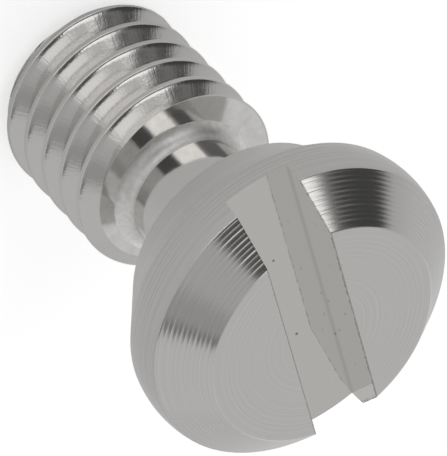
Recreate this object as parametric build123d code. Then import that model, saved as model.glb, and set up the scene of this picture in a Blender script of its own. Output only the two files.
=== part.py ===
"""Fork bleed bolt: a short slotted screw that closes the air bleed hole in a fork's top cap.

It is one turned and milled piece. The tip's end face lies on z = 0, the axis is +Z, the slotted
face is on top and the slot runs along X. All sizes are in millimetres.
"""
import math
import os

from build123d import *

# Right-hand metric thread, measured over its crests. Its crest leaves the tip at the start angle.
thread_diameter = 4.8
thread_pitch = 0.8
thread_crest_width = thread_pitch / 8
thread_root_width = thread_pitch / 6
thread_flank_angle = 30.0
thread_length = 4.36
thread_start_angle = 187.0
tip_chamfer = 0.35

# Seal groove between the thread and the head. Each corner curves out from the floor.
groove_width = 2.62
groove_floor_diameter = 2.9
groove_corner_step = 0.4
groove_corner_rise = 0.59

# Head: back taper, crowned rim and face chamfer, up to the flat slotted face.
head_back_diameter = 5.68
back_taper_height = 1.55
rim_diameter = 7.54
rim_height = 1.05
rim_crown = 0.07
face_chamfer_height = 0.92
face_diameter = 5.64

# Screwdriver slot, cut right across the head.
slot_width = 1.63
slot_depth = 1.42

# Levels along the axis, from the tip up.
shoulder_z = thread_length
head_back_z = shoulder_z + groove_width
rim_bottom_z = head_back_z + back_taper_height
rim_top_z = rim_bottom_z + rim_height
face_z = rim_top_z + face_chamfer_height


def thread_profile(z):
    """One pitch of the thread's outline, cut along the axis: crest, flank, root and flank."""
    crest_radius = thread_diameter / 2
    flank_rise = (thread_pitch - thread_crest_width - thread_root_width) / 2
    root_radius = crest_radius - flank_rise / math.tan(math.radians(thread_flank_angle))
    return [
        (crest_radius, z),
        (crest_radius, z + thread_crest_width),
        (root_radius, z + thread_crest_width + flank_rise),
        (root_radius, z + thread_pitch - flank_rise),
        (crest_radius, z + thread_pitch),
    ]


def one_turn(radius, z):
    """Right-hand helix of one turn, which starts on +X at this level."""
    return Edge.make_helix(thread_pitch, thread_pitch, radius, center=(0, 0, z))


def turn_end(z):
    """Faces that close the screw at one end: a helical ramp in to the axis and the step beside it."""
    axis_edge = Edge.make_line((0, 0, z), (0, 0, z + thread_pitch))
    ramp = Face.make_surface_from_curves(one_turn(thread_diameter / 2, z), axis_edge)
    rim = [(radius, 0, height) for radius, height in thread_profile(z)]
    step = Face(Wire.make_polygon([(0, 0, z), *rim, (0, 0, z + thread_pitch)], close=True))
    return [ramp, step]


def barrel_outline():
    """Space that the thread fills: flat at both ends, with the tip's edge chamfered."""
    crest_radius = thread_diameter / 2
    with BuildSketch(Plane.XZ) as outline:
        with BuildLine():
            Polyline(
                (0, 0),
                (crest_radius - tip_chamfer, 0),
                (crest_radius + tip_chamfer, 2 * tip_chamfer),
                (crest_radius + tip_chamfer, thread_length),
                (0, thread_length),
                close=True,
            )
        make_face()
    return revolve(outline.sketch, Axis.Z)


def threaded_barrel():
    """Full turns of thread, one turn to spare at each end, trimmed to the barrel's outline."""
    turns = math.ceil(thread_length / thread_pitch) + 2
    levels = [thread_pitch * (turn - 1) for turn in range(turns + 1)]
    faces = turn_end(levels[0]) + turn_end(levels[-1])
    for z in levels[:-1]:
        edges = [one_turn(radius, height) for radius, height in thread_profile(z)]
        faces += [Face.make_surface_from_curves(below, above) for below, above in zip(edges, edges[1:])]
    half_crest_angle = 180 * thread_crest_width / thread_pitch
    screw = Rot(0, 0, thread_start_angle + half_crest_angle) * Solid(Shell(faces))
    return barrel_outline() & screw


def head_and_groove():
    """Head and seal groove, revolved from one half section."""
    floor_radius = groove_floor_diameter / 2
    corner_radius = floor_radius + groove_corner_step
    rim_radius = rim_diameter / 2
    rim_middle = (rim_radius + rim_crown, (rim_bottom_z + rim_top_z) / 2)
    lower_corner = (floor_radius, shoulder_z + groove_corner_rise)
    upper_corner = (floor_radius, head_back_z - groove_corner_rise)
    with BuildSketch(Plane.XZ) as section:
        with BuildLine():
            TangentArc(lower_corner, (corner_radius, shoulder_z), tangent=(0, -1))
            Line(lower_corner, upper_corner)
            TangentArc(upper_corner, (corner_radius, head_back_z), tangent=(0, 1))
            Polyline(
                (corner_radius, head_back_z),
                (head_back_diameter / 2, head_back_z),
                (rim_radius, rim_bottom_z),
            )
            ThreePointArc((rim_radius, rim_bottom_z), rim_middle, (rim_radius, rim_top_z))
            Polyline(
                (rim_radius, rim_top_z),
                (face_diameter / 2, face_z),
                (0, face_z),
                (0, shoulder_z),
                (corner_radius, shoulder_z),
            )
        make_face()
    return revolve(section.sketch, Axis.Z)


def screwdriver_slot():
    """Cutter for the slot, longer than the head is wide and open at the top."""
    length = rim_diameter + 4 * rim_crown
    return Pos(0, 0, face_z) * Box(length, slot_width, 2 * slot_depth)


bolt = head_and_groove() + threaded_barrel() - screwdriver_slot()

os.makedirs("parts", exist_ok=True)
export_step(bolt, "parts/bleed_bolt.step")
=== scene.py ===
import math
import bpy
from mathutils import Matrix, Vector


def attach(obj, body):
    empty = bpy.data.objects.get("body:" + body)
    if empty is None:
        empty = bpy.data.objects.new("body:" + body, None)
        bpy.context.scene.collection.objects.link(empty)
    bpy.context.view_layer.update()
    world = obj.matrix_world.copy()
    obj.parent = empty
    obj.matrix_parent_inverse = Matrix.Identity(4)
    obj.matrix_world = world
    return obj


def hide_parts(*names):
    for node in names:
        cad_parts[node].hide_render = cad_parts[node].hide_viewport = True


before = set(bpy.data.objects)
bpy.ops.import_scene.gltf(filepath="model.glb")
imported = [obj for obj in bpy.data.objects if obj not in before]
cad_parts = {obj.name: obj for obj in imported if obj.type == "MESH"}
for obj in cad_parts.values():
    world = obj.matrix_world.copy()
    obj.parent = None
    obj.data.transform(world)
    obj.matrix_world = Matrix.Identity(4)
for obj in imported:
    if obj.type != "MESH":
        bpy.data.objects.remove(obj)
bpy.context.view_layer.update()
mm = 0.001
hair = 0.001 * mm  # the least distance that counts
print("frame loaded")


# Node helpers: every value is a number, a setting or another node's output.

def addNode(tree, kind, inputs=None, **settings):
    made = tree.nodes.new(kind)
    for name, value in settings.items():
        setattr(made, name, value)
    for key, value in (inputs or {}).items():
        if isinstance(value, bpy.types.NodeSocket):
            tree.links.new(value, made.inputs[key])
        else:
            made.inputs[key].default_value = value
    return made


def calc(tree, operation, *values, clamp=False):
    made = addNode(tree, "ShaderNodeMath", dict(enumerate(values)), operation=operation)
    made.use_clamp = clamp
    return made.outputs[0]


def compare(tree, operation, first, second):
    made = addNode(
        tree, "FunctionNodeCompare", {"A": first, "B": second}, data_type="FLOAT", operation=operation
    )
    return made.outputs[0]


def softStep(tree, value, low, high):
    made = addNode(
        tree,
        "ShaderNodeMapRange",
        {"Value": value, "From Min": low, "From Max": high},
        interpolation_type="SMOOTHSTEP",
    )
    return made.outputs[0]


def newGeometryTree(name, inputs, takesGeometry=False):
    tree = bpy.data.node_groups.new(name, "GeometryNodeTree")
    if takesGeometry:
        tree.interface.new_socket(name="Geometry", in_out="INPUT", socket_type="NodeSocketGeometry")
    kinds = {float: "NodeSocketFloat", int: "NodeSocketInt", str: "NodeSocketMaterial"}
    for label, value in inputs.items():
        tree.interface.new_socket(name=label, in_out="INPUT", socket_type=kinds[type(value)])
    tree.interface.new_socket(name="Geometry", in_out="OUTPUT", socket_type="NodeSocketGeometry")
    given = tree.nodes.new("NodeGroupInput").outputs
    return tree, given


def endTree(tree, geometry):
    output = tree.nodes.new("NodeGroupOutput")
    tree.links.new(geometry, output.inputs["Geometry"])


def placeHere(tree):
    position = tree.nodes.new("GeometryNodeInputPosition").outputs[0]
    return addNode(tree, "ShaderNodeSeparateXYZ", {0: position}).outputs


def aroundAxis(tree, radius, angle, height):
    x = calc(tree, "MULTIPLY", radius, calc(tree, "COSINE", angle))
    y = calc(tree, "MULTIPLY", radius, calc(tree, "SINE", angle))
    return addNode(tree, "ShaderNodeCombineXYZ", {"X": x, "Y": y, "Z": height}).outputs[0]


def moved(tree, geometry, position):
    inputs = {"Geometry": geometry, "Position": position}
    return addNode(tree, "GeometryNodeSetPosition", inputs).outputs[0]


def merged(tree, geometry):
    inputs = {"Geometry": geometry, "Distance": 0.5 * hair}
    return addNode(tree, "GeometryNodeMergeByDistance", inputs).outputs[0]


def finished(tree, geometry, finish, where=True):
    inputs = {"Geometry": geometry, "Selection": where, "Material": finish}
    return addNode(tree, "GeometryNodeSetMaterial", inputs).outputs[0]


# Metal finishes. Sizes and depths are in millimetres, and a mark's tone is a share of the metal's own. All
# are one steel: a finish with a lighter colour than the rest carries painted light.

metalLooks = {
    "facedSteel": {
        "colour": (0.6, 0.59, 0.575),
        "roughness": 0.22,
        "rings": {"pitch": 0.045, "depth": 0.0015, "contrast": 0.11},
        "grain": {"size": 0.05, "depth": 0.001},
        # painted shadow: a dark line along the slot's edge
        "lipShadow": {"reach": 0.035, "solid": 0.3, "nicksPerMm": 12, "tone": 0.6},
    },
    "turnedSteel": {
        "colour": (0.57, 0.56, 0.545),
        "roughness": 0.22,
        "rings": {"pitch": 0.045, "depth": 0.003, "contrast": 0.2},
        "grain": {"size": 0.1, "depth": 0.001},
    },
    "backSteel": {
        # lighter than the other steel: painted light on the back of the head
        "colour": (0.7, 0.69, 0.675),
        "roughness": 0.55,
        "rings": {"pitch": 0.045, "depth": 0.004, "contrast": 0.2},
        "grain": {"size": 0.1, "depth": 0.001},
    },
    "grooveSteel": {
        "colour": (0.61, 0.6, 0.585),
        "roughness": 0.14,
        "rings": {"pitch": 0.05, "depth": 0.0004, "contrast": 0.1},
        "grain": {"size": 0.06, "depth": 0.0003},
        # painted shadow: a dark line along the slot's edge
        "lipShadow": {"reach": 0.03, "solid": 0.3, "nicksPerMm": 12, "tone": 0.6},
    },
    "threadSteel": {
        "colour": (0.6, 0.59, 0.575),
        "roughness": 0.13,
        "grain": {"size": 0.05, "depth": 0.0018},
        "streaks": {"width": 0.06, "length": 0.25, "depth": 0.003},
    },
    "neckSteel": {
        "colour": (0.62, 0.61, 0.595),
        "roughness": 0.09,
        "grain": {"size": 0.12, "depth": 0.0007},
    },
    "cornerSteel": {
        # lighter than the other steel: painted light in the lower corner
        "colour": (0.78, 0.77, 0.755),
        "roughness": 0.44,
        "mottle": {"size": 0.14, "contrast": 0.2},
        "grain": {"size": 0.16, "depth": 0.008},
    },
    "shoulderSteel": {
        # lighter than the other steel: painted light on the shoulder
        "colour": (0.72, 0.71, 0.695),
        "roughness": 0.09,
        "mottle": {"size": 0.25, "contrast": 0.14},
        "grain": {"size": 0.12, "depth": 0.0009},
    },
    "milledSteel": {
        "colour": (0.6, 0.59, 0.57),
        "roughness": 0.05,
        "grain": {"size": 0.15, "depth": 0.0005},
        "pits": {"spacing": 0.5, "radius": 0.04, "tone": 0.3},
        # real burrs under the edges, painted dark as their shade
        "burrShade": {"reach": 0.1, "size": 0.12, "least": 0.42, "onFace": 0.5, "onChamfer": 0.9, "tone": 0.25},
        # painted shade where the slot's floor meets its walls
        "creaseShade": {"width": 0.09, "tone": 0.9},
    },
}


# Detail is the number of times that the noise repeats at half its size.
def noise(tree, place, size, detail):
    inputs = {"Vector": place, "Scale": 1 / size, "Detail": detail}
    return addNode(tree, "ShaderNodeTexNoise", inputs).outputs[0]


def swing(tree, texture, contrast):
    return calc(tree, "MULTIPLY", calc(tree, "SUBTRACT", texture, 0.5), 2 * contrast)


def pressed(tree, texture, depth, normal):
    made = addNode(tree, "ShaderNodeBump", {"Height": texture, "Strength": 1.0, "Distance": depth * mm})
    if normal:
        tree.links.new(normal, made.inputs["Normal"])
    return made.outputs[0]


# Clear is 1 on bare metal and 0 on the mark, where the metal has only the mark's tone.
def darkened(tree, shade, clear, tone):
    return calc(tree, "MULTIPLY", shade, calc(tree, "MULTIPLY_ADD", clear, 1 - tone, tone))


def addRings(tree, here, rings, normal):
    along = calc(tree, "DIVIDE", calc(tree, "SUBTRACT", here["out"], here["z"]), rings["pitch"] * mm)
    lines = addNode(
        tree, "ShaderNodeTexNoise", {"W": along, "Scale": 1.0, "Detail": 3.0}, noise_dimensions="1D"
    ).outputs[0]
    # The rings show more in some patches than in others.
    patches = calc(tree, "MULTIPLY", noise(tree, here["spot"], mm, 1.0), 2)
    tint = calc(tree, "MULTIPLY", swing(tree, lines, rings["contrast"]), patches)
    return pressed(tree, lines, rings["depth"], normal), calc(tree, "ADD", tint, 1.0)


def addMottle(tree, here, mottle):
    clouds = noise(tree, here["spot"], mottle["size"] * mm, 2.0)
    return calc(tree, "ADD", swing(tree, clouds, mottle["contrast"]), 1.0)


def addStreaks(tree, here, streaks, normal):
    turns = calc(tree, "ARCTAN2", here["y"], here["x"])
    around = calc(tree, "MULTIPLY", turns, threadSizes["Crest radius"] / (streaks["width"] * mm))
    along = calc(tree, "DIVIDE", here["z"], streaks["length"] * mm)
    strokes = addNode(tree, "ShaderNodeCombineXYZ", {"X": around, "Y": along}).outputs[0]
    return pressed(tree, noise(tree, strokes, 1.0, 2.0), streaks["depth"], normal)


def addPits(tree, here, pits, shade):
    bottom, rim = 0.5, 1.3  # shares of the radius where a pit is darkest and where it ends
    share = pits["radius"] / pits["spacing"]
    inputs = {"Vector": here["spot"], "Scale": 1 / (pits["spacing"] * mm), "Randomness": 1.0}
    cells = addNode(tree, "ShaderNodeTexVoronoi", inputs)
    clear = softStep(tree, cells.outputs["Distance"], bottom * share, rim * share)
    return darkened(tree, shade, clear, pits["tone"])


# Painted shadow: a thin, uneven dark line along the slot's edge, on the faces that the slot cuts.
def addLipShadow(tree, here, lipShadow, shade):
    away = calc(tree, "SUBTRACT", calc(tree, "ABSOLUTE", here["y"]), 0.5 * slotSizes["Slot width"])
    ragged = noise(tree, here["spot"], mm / lipShadow["nicksPerMm"], 2.0)
    reach = calc(tree, "MULTIPLY", ragged, 2 * lipShadow["reach"] * mm)
    clear = softStep(tree, calc(tree, "DIVIDE", away, reach), lipShadow["solid"], 1.0)
    return darkened(tree, shade, clear, lipShadow["tone"])


# Specks of metal hang under the slot's upper edges, more of them on the chamfer; their dark tone is
# painted shade.
def addBurrShade(tree, here, burrShade, shade):
    longest = 6 * burrShade["reach"] * mm  # the noise seldom swings by more than a sixth
    slope = headSizes["Chamfer height"] / headSizes["Chamfer width"]
    outside = calc(tree, "SUBTRACT", here["out"], profileSizes["faceRadius"] * mm)
    lower = calc(tree, "MULTIPLY", calc(tree, "MAXIMUM", outside, 0), slope)
    edge = calc(tree, "SUBTRACT", headSizes["Face height"], lower)
    below = calc(tree, "SUBTRACT", edge, here["z"])
    onChamfer = calc(tree, "GREATER_THAN", lower, 0.0)
    more = calc(tree, "MULTIPLY_ADD", onChamfer, burrShade["onChamfer"] - burrShade["onFace"], burrShade["onFace"])
    specks = noise(tree, here["spot"], burrShade["size"] * mm, 2.0)
    hang = calc(tree, "MULTIPLY", calc(tree, "SUBTRACT", specks, burrShade["least"]), longest)
    clear = calc(tree, "GREATER_THAN", below, calc(tree, "MULTIPLY", hang, more))
    return darkened(tree, shade, clear, burrShade["tone"])


# Painted shade: a soft dark line where the slot's floor meets its walls.
def addCreaseShade(tree, here, creaseShade, shade):
    fromFace = calc(tree, "ADD", here["z"], slotSizes["Slot depth"])
    fromFloor = calc(tree, "SUBTRACT", fromFace, headSizes["Face height"])
    fromWall = calc(tree, "SUBTRACT", 0.5 * slotSizes["Slot width"], calc(tree, "ABSOLUTE", here["y"]))
    away = calc(tree, "ADD", calc(tree, "ABSOLUTE", fromFloor), calc(tree, "ABSOLUTE", fromWall))
    return darkened(tree, shade, softStep(tree, away, 0.0, creaseShade["width"] * mm), creaseShade["tone"])


def brightMetal(name):
    look = metalLooks[name]
    made = bpy.data.materials.new(name)
    made.use_nodes = True
    tree = made.node_tree
    shader = tree.nodes["Principled BSDF"]
    shader.inputs["Base Color"].default_value = (*look["colour"], 1)
    shader.inputs["Metallic"].default_value = 1
    shader.inputs["Roughness"].default_value = look["roughness"]
    spot = tree.nodes.new("ShaderNodeTexCoord").outputs["Object"]
    x, y, z = addNode(tree, "ShaderNodeSeparateXYZ", {0: spot}).outputs
    squared = calc(tree, "ADD", calc(tree, "MULTIPLY", x, x), calc(tree, "MULTIPLY", y, y))
    here = {"spot": spot, "x": x, "y": y, "z": z, "out": calc(tree, "SQRT", squared)}
    normal = None
    shade = 1.0
    if "rings" in look:
        normal, shade = addRings(tree, here, look["rings"], normal)
    if "mottle" in look:
        shade = addMottle(tree, here, look["mottle"])
    if "streaks" in look:
        normal = addStreaks(tree, here, look["streaks"], normal)
    grain = noise(tree, spot, look["grain"]["size"] * mm, 3.0)
    tree.links.new(pressed(tree, grain, look["grain"]["depth"], normal), shader.inputs["Normal"])
    if "pits" in look:
        shade = addPits(tree, here, look["pits"], shade)
    # painted shadow along the slot's edge
    if "lipShadow" in look:
        shade = addLipShadow(tree, here, look["lipShadow"], shade)
    # burrs under the edges, painted dark as their shade
    if "burrShade" in look:
        shade = addBurrShade(tree, here, look["burrShade"], shade)
    # painted shade where the slot's floor meets its walls
    if "creaseShade" in look:
        shade = addCreaseShade(tree, here, look["creaseShade"], shade)
    if not isinstance(shade, float):
        inputs = {0: look["colour"], "Scale": shade}
        tinted = addNode(tree, "ShaderNodeVectorMath", inputs, operation="SCALE")
        tree.links.new(tinted.outputs[0], shader.inputs["Base Color"])
    return made


# The bolt. Its tip stands on z = 0, its axis is +Z and its slot runs along X.

# Radii and heights of the turned outline, in millimetres, and the rows of faces along it.
profileSizes = {
    "neckRadius": 1.45,
    "footRadius": 1.76,
    "footRise": 0.39,
    "footOverrun": 4,  # degrees of the foot's arc that run on inside the barrel
    "footRows": 17,
    "backCornerRadius": 1.85,
    "backCornerRise": 0.59,
    "backCornerRows": 16,
    "backRadius": 2.8,
    "backRows": 14,
    "rimRadius": 3.77,
    "rimCrown": 0.069,
    "rimRows": 16,
    "edgeBreak": 0.03,
    "edgeRows": 4,
    "chamferRows": 104,
    "faceRadius": 2.82,
    "faceRows": 12,
    "rootDepth": 0.6,
    "shoulder": 4.36,
    "back": 6.98,
    "rimBottom": 8.53,
    "rimTop": 9.58,
    "face": 10.5,
}


def arc(centre, radius, startDegrees, endDegrees, steps):
    turn = endDegrees - startDegrees
    angles = [math.radians(startDegrees + turn * step / steps) for step in range(steps + 1)]
    return [(centre[0] + radius * math.cos(a), centre[1] + radius * math.sin(a)) for a in angles]


# The bend and the degrees of an arc that starts upright and reaches out by step over rise.
def cornerArc(step, rise):
    bend = (step ** 2 + rise ** 2) / (2 * step)
    return bend, math.degrees(math.asin(rise / bend))


# A small curve in place of a sharp corner, from reach before it to reach after it.
def rounded(before, corner, after, reach, steps):
    start = [c + (b - c) * reach / math.dist(before, corner) for b, c in zip(before, corner)]
    end = [c + (a - c) * reach / math.dist(after, corner) for a, c in zip(after, corner)]
    curve = []
    for share in [step / steps for step in range(steps + 1)]:
        first, second, third = (1 - share) ** 2, 2 * share * (1 - share), share ** 2
        curve.append(tuple(first * s + second * c + third * e for s, c, e in zip(start, corner, end)))
    return curve


def straightRows(start, end, rows):
    return [tuple(a + (b - a) * row / rows for a, b in zip(start, end)) for row in range(rows)]


def outlinePoints(p):
    rootLevel = p["shoulder"] - p["rootDepth"]
    points = [(0, rootLevel), (p["neckRadius"], rootLevel)]
    # The lower corner runs on a little way inside the barrel, so that the two join cleanly.
    bend, sweep = cornerArc(p["footRadius"] - p["neckRadius"], p["footRise"])
    centre = (p["neckRadius"] + bend, p["shoulder"] + p["footRise"])
    points += arc(centre, bend, 180 + p["footOverrun"] + sweep, 180, p["footRows"])
    bend, sweep = cornerArc(p["backCornerRadius"] - p["neckRadius"], p["backCornerRise"])
    centre = (p["neckRadius"] + bend, p["back"] - p["backCornerRise"])
    points += arc(centre, bend, 180, 180 - sweep, p["backCornerRows"])
    rimFoot = (p["rimRadius"], p["rimBottom"])
    points += straightRows((p["backRadius"], p["back"]), rimFoot, p["backRows"])
    half = (p["rimTop"] - p["rimBottom"]) / 2
    bend = (half ** 2 + p["rimCrown"] ** 2) / (2 * p["rimCrown"])
    sweep = math.degrees(math.asin(half / bend))
    centre = (p["rimRadius"] + p["rimCrown"] - bend, p["rimBottom"] + half)
    points += arc(centre, bend, -sweep, sweep, p["rimRows"])
    # Both edges of the face chamfer are lightly broken.
    rimEdge, faceEdge = points.pop(), (p["faceRadius"], p["face"])
    points += rounded(points[-1], rimEdge, faceEdge, p["edgeBreak"], p["edgeRows"])
    faceCurve = rounded(rimEdge, faceEdge, (0, p["face"]), p["edgeBreak"], p["edgeRows"])
    points += straightRows(points[-1], faceCurve[0], p["chamferRows"])[1:]
    points += faceCurve
    points += straightRows(faceEdge, (0, p["face"]), p["faceRows"])[1:] + [(0, p["face"])]
    return points


# Inputs of the head's tree. Its levels are the outline's own.
headSizes = {
    "Steps around head": 256,
    "Face height": profileSizes["face"] * mm,
    "Face edge": 0.01 * mm,
    "Chamfer height": 0.92 * mm,
    "Chamfer width": 0.945 * mm,
    "Groove pitch": 0.108 * mm,
    "Groove depth": 0.0026 * mm,
    "Groove lean": 0.7,
    "Groove seed": 7,
    "Shoulder height": profileSizes["shoulder"] * mm,
    "Corner height": 0.36 * mm,
    "Back height": profileSizes["back"] * mm,
    "Rim height": profileSizes["rimBottom"] * mm,
    "Dent angle": math.radians(-50),
    "Dent half width": math.radians(34),
    "Dent depth": 0.2 * mm,
    "Face finish": "facedSteel",
    "Turned finish": "turnedSteel",
    "Back finish": "backSteel",
    "Neck finish": "neckSteel",
    "Corner finish": "cornerSteel",
    "Groove finish": "grooveSteel",
}


def headTree():
    tree, given = newGeometryTree("turnedHead", headSizes, takesGeometry=True)
    outline = given["Geometry"]
    counted = addNode(tree, "GeometryNodeAttributeDomainSize", {"Geometry": outline}, component="MESH")
    count = counted.outputs["Point Count"]
    columns = calc(tree, "ADD", given["Steps around head"], 1)
    sheetSize = {"Size X": math.tau, "Size Y": 1.0, "Vertices X": columns, "Vertices Y": count}
    sheet = addNode(tree, "GeometryNodeMeshGrid", sheetSize).outputs["Mesh"]
    # Each row of the sheet takes its radius and height from one point of the outline.
    position = tree.nodes.new("GeometryNodeInputPosition").outputs[0]
    angle = addNode(tree, "ShaderNodeSeparateXYZ", {0: position}).outputs["X"]
    row = calc(tree, "MODULO", tree.nodes.new("GeometryNodeInputIndex").outputs[0], count)
    corner = addNode(
        tree,
        "GeometryNodeSampleIndex",
        {"Geometry": outline, "Value": position, "Index": row},
        data_type="FLOAT_VECTOR",
        domain="POINT",
    )
    radius, _, rise = addNode(tree, "ShaderNodeSeparateXYZ", {0: corner.outputs[0]}).outputs
    # A shallow dent on one side of the back taper.
    taper = calc(tree, "SUBTRACT", given["Rim height"], given["Back height"])
    share = calc(tree, "DIVIDE", calc(tree, "SUBTRACT", rise, given["Back height"]), taper, clamp=True)
    scoop = calc(tree, "MULTIPLY", calc(tree, "MULTIPLY", share, calc(tree, "SUBTRACT", 1, share)), 4)
    away = calc(tree, "ABSOLUTE", calc(tree, "SUBTRACT", angle, given["Dent angle"]))
    near = calc(tree, "SUBTRACT", 1, softStep(tree, away, 0.0, given["Dent half width"]))
    dent = calc(tree, "MULTIPLY", calc(tree, "MULTIPLY", scoop, given["Dent depth"]), near)
    radius = calc(tree, "SUBTRACT", radius, dent)
    # Tool marks down the face chamfer, each a shallow hollow between two ridges.
    fall = calc(tree, "SUBTRACT", given["Face height"], rise)
    heightSquared = calc(tree, "POWER", given["Chamfer height"], 2)
    widthSquared = calc(tree, "POWER", given["Chamfer width"], 2)
    slant = calc(tree, "SQRT", calc(tree, "ADD", heightSquared, widthSquared))
    down = calc(tree, "DIVIDE", calc(tree, "MULTIPLY", fall, slant), given["Chamfer height"])
    mark = calc(tree, "DIVIDE", down, given["Groove pitch"])
    across = calc(tree, "SUBTRACT", calc(tree, "FRACT", mark), 0.5)
    hollow = calc(tree, "SUBTRACT", 1, calc(tree, "MULTIPLY", 4, calc(tree, "POWER", across, 2)))
    least, most = 0.7, 1.3  # share of the groove depth that one mark has
    uneven = addNode(
        tree,
        "FunctionNodeRandomValue",
        {2: least, 3: most, "ID": calc(tree, "FLOOR", mark), "Seed": given["Groove seed"]},
        data_type="FLOAT",
    ).outputs[1]
    pastEdge = compare(tree, "GREATER_THAN", down, given["Groove pitch"])
    onChamfer = calc(tree, "MULTIPLY", pastEdge, compare(tree, "LESS_THAN", down, slant))
    deep = calc(tree, "MULTIPLY", calc(tree, "MULTIPLY", hollow, given["Groove depth"]), uneven)
    sink = calc(tree, "MULTIPLY", calc(tree, "MULTIPLY", deep, onChamfer), given["Groove lean"])
    radius = calc(tree, "SUBTRACT", radius, sink)
    rise = calc(tree, "SUBTRACT", rise, sink)
    head = merged(tree, moved(tree, sheet, aroundAxis(tree, radius, angle, rise)))
    # The finishes change at the levels where the tool changed.
    height = placeHere(tree)["Z"]
    cornerTop = calc(tree, "ADD", given["Shoulder height"], given["Corner height"])
    chamferFoot = calc(tree, "SUBTRACT", given["Face height"], given["Chamfer height"])
    faceLevel = calc(tree, "SUBTRACT", given["Face height"], given["Face edge"])
    head = finished(tree, head, given["Turned finish"])
    for side, level, finish in (
        ("LESS_THAN", given["Rim height"], given["Back finish"]),
        ("LESS_THAN", given["Back height"], given["Neck finish"]),
        ("LESS_THAN", cornerTop, given["Corner finish"]),
        ("GREATER_THAN", chamferFoot, given["Groove finish"]),
        ("GREATER_THAN", faceLevel, given["Face finish"]),
    ):
        head = finished(tree, head, finish, compare(tree, side, height, level))
    endTree(tree, head)
    return tree


# Inputs of the barrel's tree. It ends at the shoulder, where the outline takes over.
threadSizes = {
    "Crest radius": 2.4 * mm,
    "Pitch": 0.8 * mm,
    "Crest above": 0.11 * mm,
    "Crest below": 0.02 * mm,
    "Head side angle": math.radians(37),
    "Tip side angle": math.radians(33),
    "Head side rounding": 0.12 * mm,
    "Tip side rounding": 0.03 * mm,
    "Root rounding": 0.08 * mm,
    "Thread length": profileSizes["shoulder"] * mm,
    "Start angle": math.radians(187),
    "Tip chamfer": 0.35 * mm,
    "Steps around thread": 128,
    "Steps per pitch": 48,
    "Thread finish": "threadSteel",
    "Shoulder finish": "shoulderSteel",
}


def threadTree():
    tree, given = newGeometryTree("threadedBarrel", threadSizes)
    pitch, length = given["Pitch"], given["Thread length"]
    # Three turns more than the barrel has: one for the low start, one for the lead and one to spare.
    turns = calc(tree, "ADD", calc(tree, "CEIL", calc(tree, "DIVIDE", length, pitch)), 3)
    height = calc(tree, "MULTIPLY", turns, pitch)
    rows = calc(tree, "ADD", calc(tree, "MULTIPLY", turns, given["Steps per pitch"]), 1)
    columns = calc(tree, "ADD", given["Steps around thread"], 1)
    sheetSize = {"Size X": math.tau, "Size Y": height, "Vertices X": columns, "Vertices Y": rows}
    sheet = addNode(tree, "GeometryNodeMeshGrid", sheetSize).outputs["Mesh"]
    angle, up, _ = placeHere(tree)
    # Each row climbs by one pitch per turn, and is cut off flat at both ends of the barrel.
    turned = calc(tree, "DIVIDE", calc(tree, "SUBTRACT", angle, given["Start angle"]), math.tau)
    lead = calc(tree, "MULTIPLY", pitch, turned)
    row = calc(tree, "SUBTRACT", calc(tree, "ADD", up, calc(tree, "MULTIPLY", height, 0.5)), pitch)
    fromTip = calc(tree, "MAXIMUM", calc(tree, "ADD", row, lead), 0)
    rise = calc(tree, "MINIMUM", fromTip, length)
    # The crest, the two flanks and the root follow from the share of a pitch that has gone by.
    along = calc(tree, "SUBTRACT", rise, lead)
    above = calc(tree, "MULTIPLY", pitch, calc(tree, "FRACT", calc(tree, "DIVIDE", along, pitch)))
    pastCrest = calc(tree, "SUBTRACT", above, given["Crest above"])
    toNext = calc(tree, "SUBTRACT", calc(tree, "SUBTRACT", pitch, above), given["Crest below"])
    fall = calc(tree, "DIVIDE", pastCrest, calc(tree, "TANGENT", given["Head side angle"]))
    fall = calc(tree, "SMOOTH_MAX", fall, 0, given["Head side rounding"])
    climb = calc(tree, "DIVIDE", toNext, calc(tree, "TANGENT", given["Tip side angle"]))
    climb = calc(tree, "SMOOTH_MAX", climb, 0, given["Tip side rounding"])
    hollow = calc(tree, "SMOOTH_MIN", fall, climb, given["Root rounding"])
    cut = calc(tree, "SUBTRACT", given["Crest radius"], hollow)
    tipRadius = calc(tree, "SUBTRACT", given["Crest radius"], given["Tip chamfer"])
    radius = calc(tree, "MINIMUM", cut, calc(tree, "ADD", tipRadius, rise))
    # The first and last rows shrink to the axis and close the ends.
    almostHalf = 0.4999
    lastRows = calc(tree, "MULTIPLY", height, almostHalf)
    inner = compare(tree, "LESS_THAN", calc(tree, "ABSOLUTE", up), lastRows)
    radius = calc(tree, "MULTIPLY", radius, inner)
    barrel = merged(tree, moved(tree, sheet, aroundAxis(tree, radius, angle, rise)))
    endTree(tree, finished(tree, barrel, given["Shoulder finish"]))
    return tree


# Inputs of the tree that joins the two and cuts the slot.
slotSizes = {
    "Slot width": 1.63 * mm,
    "Slot depth": 1.42 * mm,
    "Slot length": 9.0 * mm,
    "Slot finish": "milledSteel",
    "Sharpest smooth edge": math.radians(15),
}


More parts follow.
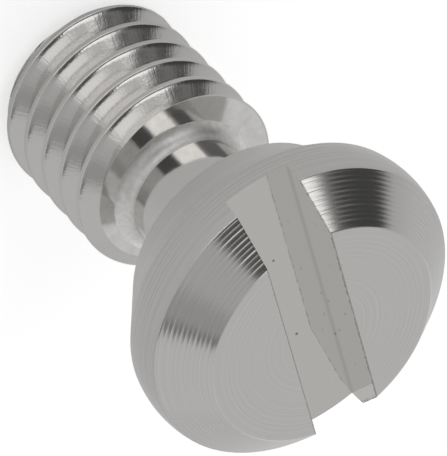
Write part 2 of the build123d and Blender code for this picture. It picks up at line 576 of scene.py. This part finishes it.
def boltTree():
    sizes = {**threadSizes, **headSizes, **slotSizes}
    tree, given = newGeometryTree("bleedBolt", sizes, takesGeometry=True)

    def part(group, names):
        made = tree.nodes.new("GeometryNodeGroup")
        made.node_tree = group
        for name in names:
            tree.links.new(given[name], made.inputs[name])
        return made

    barrel = part(threadTree(), threadSizes)
    head = part(headTree(), headSizes)
    tree.links.new(given["Geometry"], head.inputs["Geometry"])
    whole = addNode(tree, "GeometryNodeMeshBoolean", operation="UNION", solver="EXACT")
    tree.links.new(barrel.outputs[0], whole.inputs["Mesh 2"])
    tree.links.new(head.outputs[0], whole.inputs["Mesh 2"])
    # The cutter stands half above the face.
    cutterHeight = calc(tree, "MULTIPLY", given["Slot depth"], 2)
    cutterSize = {"X": given["Slot length"], "Y": given["Slot width"], "Z": cutterHeight}
    block = addNode(
        tree,
        "GeometryNodeMeshCube",
        {"Size": addNode(tree, "ShaderNodeCombineXYZ", cutterSize).outputs[0]},
    ).outputs["Mesh"]
    up = addNode(tree, "ShaderNodeCombineXYZ", {"Z": given["Face height"]}).outputs[0]
    cutter = addNode(tree, "GeometryNodeTransform", {"Geometry": block, "Translation": up}).outputs[0]
    cutter = finished(tree, cutter, given["Slot finish"])
    slotted = addNode(
        tree,
        "GeometryNodeMeshBoolean",
        {"Mesh 1": whole.outputs["Mesh"], "Mesh 2": cutter},
        operation="DIFFERENCE",
        solver="EXACT",
    ).outputs["Mesh"]
    smooth = addNode(tree, "GeometryNodeSetShadeSmooth", {"Geometry": slotted}, domain="FACE").outputs[0]
    # Clear edges stay sharp, and the flat shoulder is kept out of the corner's smooth shading.
    edgeAngle = tree.nodes.new("GeometryNodeInputMeshEdgeAngle").outputs["Unsigned Angle"]
    gentle = compare(tree, "LESS_THAN", edgeAngle, given["Sharpest smooth edge"])
    height = placeHere(tree)["Z"]
    fromShoulder = calc(tree, "ABSOLUTE", calc(tree, "SUBTRACT", height, given["Thread length"]))
    offShoulder = compare(tree, "GREATER_THAN", fromShoulder, hair)
    shaded = addNode(
        tree,
        "GeometryNodeSetShadeSmooth",
        {"Geometry": smooth, "Shade Smooth": calc(tree, "MULTIPLY", gentle, offShoulder)},
        domain="EDGE",
    ).outputs[0]
    realized = addNode(tree, "GeometryNodeRealizeInstances", {"Geometry": shaded}).outputs[0]
    # The barrel has the shoulder's finish so far. All that lies below the shoulder is thread.
    barrelTop = calc(tree, "SUBTRACT", given["Thread length"], hair)
    onThread = compare(tree, "LESS_THAN", height, barrelTop)
    endTree(tree, finished(tree, realized, given["Thread finish"], onThread))
    return tree, sizes


finishes = {name: brightMetal(name) for name in metalLooks}
print("finishes made:", len(finishes))

points = outlinePoints(profileSizes)
outlineMesh = bpy.data.meshes.new("headOutline")
outlineEdges = [(i, i + 1) for i in range(len(points) - 1)]
outlineMesh.from_pydata([(r * mm, 0, z * mm) for r, z in points], outlineEdges, [])
draft = bpy.data.objects.new("boltDraft", outlineMesh)
bpy.context.collection.objects.link(draft)
tree, sizes = boltTree()
maker = draft.modifiers.new("bleedBolt", "NODES")
maker.node_group = tree
for item in tree.interface.items_tree:
    if item.in_out == "INPUT" and item.name in sizes:
        value = sizes[item.name]
        maker[item.identifier] = finishes[value] if isinstance(value, str) else value
draftDone = draft.evaluated_get(bpy.context.evaluated_depsgraph_get())
boltMesh = bpy.data.meshes.new_from_object(draftDone)
boltMesh.name = "bleedBoltMesh"
bolt = bpy.data.objects.new("bleedBolt", boltMesh)
bpy.context.collection.objects.link(bolt)
bpy.data.objects.remove(draft)
print("bolt made:", len(boltMesh.polygons), "faces", [m.name for m in boltMesh.materials])

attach(bolt, "root")
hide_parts("bleed_bolt")


# Floor: pale paper, which glows a little for each kind of ray, so that it passes for white.

floorLook = {
    "reach": 600 * mm,
    "paint": (0.8, 0.8, 0.8, 1),
    "glow": {"Is Camera Ray": 0.57, "Is Glossy Ray": 0.15, "Is Transmission Ray": 0.15},
}


def addRays(tree, kinds):
    path = tree.nodes.new("ShaderNodeLightPath").outputs
    total = 0.0
    for kind, share in kinds.items():
        total = calc(tree, "ADD", calc(tree, "MULTIPLY", path[kind], share), total)
    return total


reach = floorLook["reach"]
floorCorners = [(-reach, -reach, 0), (reach, -reach, 0), (reach, reach, 0), (-reach, reach, 0)]
floorMesh = bpy.data.meshes.new("floorMesh")
floorMesh.from_pydata(floorCorners, [], [(0, 1, 2, 3)])
floor = bpy.data.objects.new("floor", floorMesh)
bpy.context.collection.objects.link(floor)
floorPaint = bpy.data.materials.new("floorPaint")
floorPaint.use_nodes = True
paper = floorPaint.node_tree.nodes["Principled BSDF"]
paper.inputs["Base Color"].default_value = floorLook["paint"]
paper.inputs["Roughness"].default_value = 1
paper.inputs["Specular IOR Level"].default_value = 0
paper.inputs["Emission Color"].default_value = (1, 1, 1, 1)
glow = addRays(floorPaint.node_tree, floorLook["glow"])
floorPaint.node_tree.links.new(glow, paper.inputs["Emission Strength"])
floorMesh.materials.append(floorPaint)
print("floor laid")


# Light: a soft tent, with pale and dark panels that the metal mirrors. All angles are in degrees.

cameraSide = 18.66  # the way round to the camera, from +X

tentLook = {
    "wall": 0.52,
    # Round from the camera's side: centre, half width, soft edge. Then the same upwards. Then the tone.
    # A panel lies over the ones above it in this list.
    "panels": {
        "top": (0, 180, 1, 90, 30, 8, 0.6),
        "back": (180, 55, 20, 40, 60, 20, 0.66),
        "backLow": (180, 26, 8, 14, 12, 6, 1.1),
        "backSheet": (180, 25, 8, 42, 14, 8, 0.68),
        "wallSheet": (143, 14, 8, 42, 14, 8, 0.85),
        "rightSheet": (105, 28, 8, 10, 50, 10, 0.68),
        "rightShade": (64, 13, 8, 10, 60, 10, 0.41),
        "rightSeam": (75, 4, 3, 5, 36, 6, 0.22),
        "softBox": (-51, 23, 4, 34, 16, 3, 1.45),
        "darkSide": (-94, 20, 5, 10, 30, 10, 0.07),
        "darkStrip": (-99, 18, 4, 55, 14, 2, 0.13),
        "lowShade": (-32, 44, 8, 20, 13, 4, 0.27),
        "lowRight": (42, 36, 8, 0, 7, 3, 0.85),
        "lowBox": (-22, 37, 6, 0, 7, 3, 1.75),
        "darkLens": (-8, 17, 4, 43, 14, 1.5, 0.1),
        "overheadRim": (-34, 44, 12, 75, 20, 2, 0.72),
        "overhead": (-17, 28, 4, 75, 17.5, 1, 1.06),
    },
}


def softBand(tree, value, centre, half, edge):
    away = calc(tree, "ABSOLUTE", calc(tree, "SUBTRACT", value, math.radians(centre)))
    made = addNode(
        tree,
        "ShaderNodeMapRange",
        {
            "Value": away,
            "From Min": math.radians(half - edge),
            "From Max": math.radians(half + edge),
            "To Min": 1.0,
            "To Max": 0.0,
        },
        interpolation_type="SMOOTHSTEP",
    )
    return made.outputs[0]


def mixTones(tree, share, first, second):
    inputs = {"Factor": share, "A": first, "B": second}
    return addNode(tree, "ShaderNodeMix", inputs, data_type="FLOAT").outputs[0]


world = bpy.data.worlds.new("softStudio")
bpy.context.scene.world = world
world.use_nodes = True
sky = world.node_tree
direction = sky.nodes.new("ShaderNodeTexCoord").outputs["Generated"]
climb = calc(sky, "ARCSINE", addNode(sky, "ShaderNodeSeparateXYZ", {0: direction}).outputs["Z"])
tone = tentLook["wall"]
for centre, half, edge, height, halfHeight, heightEdge, panelTone in tentLook["panels"].values():
    towards = {"Vector": direction, "Angle": -math.radians(cameraSide + centre)}
    turned = addNode(sky, "ShaderNodeVectorRotate", towards, rotation_type="Z_AXIS").outputs[0]
    flat = addNode(sky, "ShaderNodeSeparateXYZ", {0: turned}).outputs
    around = softBand(sky, calc(sky, "ARCTAN2", flat["Y"], flat["X"]), 0, half, edge)
    cover = calc(sky, "MULTIPLY", around, softBand(sky, climb, height, halfHeight, heightEdge))
    tone = mixTones(sky, cover, tone, panelTone)
# The camera itself sees plain white in place of the tent.
seen = sky.nodes.new("ShaderNodeLightPath").outputs["Is Camera Ray"]
sky.links.new(mixTones(sky, seen, tone, 1.0), sky.nodes["Background"].inputs["Strength"])
sky.nodes["Background"].inputs["Color"].default_value = (1, 1, 1, 1)
print("light hung:", len(tentLook["panels"]), "panels")


# Camera: lengths in millimetres, angles in degrees.

cameraPlace = {
    "aim": (2.0496, 0.6563, 8.0958),
    "elevation": 41.83,
    "roll": 136.44,
    "distance": 126.72,
    "lens": 454.76,
    "sensorWidth": 36,
    "clipStart": 10,
}
azimuth = math.radians(cameraSide)
elevation = math.radians(cameraPlace["elevation"])
outwards = math.cos(elevation)
back = Vector((outwards * math.cos(azimuth), outwards * math.sin(azimuth), math.sin(elevation)))
level = Vector((0, 0, 1)).cross(back).normalized()
right = Matrix.Rotation(math.radians(cameraPlace["roll"]), 3, back) @ level
up = back.cross(right)
cameraData = bpy.data.cameras.new("camera")
cameraData.lens = cameraPlace["lens"]
cameraData.sensor_width = cameraPlace["sensorWidth"]
cameraData.clip_start = cameraPlace["clipStart"] * mm
camera = bpy.data.objects.new("camera", cameraData)
place = (Vector(cameraPlace["aim"]) + back * cameraPlace["distance"]) * mm
camera.matrix_world = Matrix.Translation(place) @ Matrix((right, up, back)).transposed().to_4x4()
bpy.context.collection.objects.link(camera)
bpy.context.scene.camera = camera
bpy.context.scene.view_settings.view_transform = "Standard"
print("camera placed")
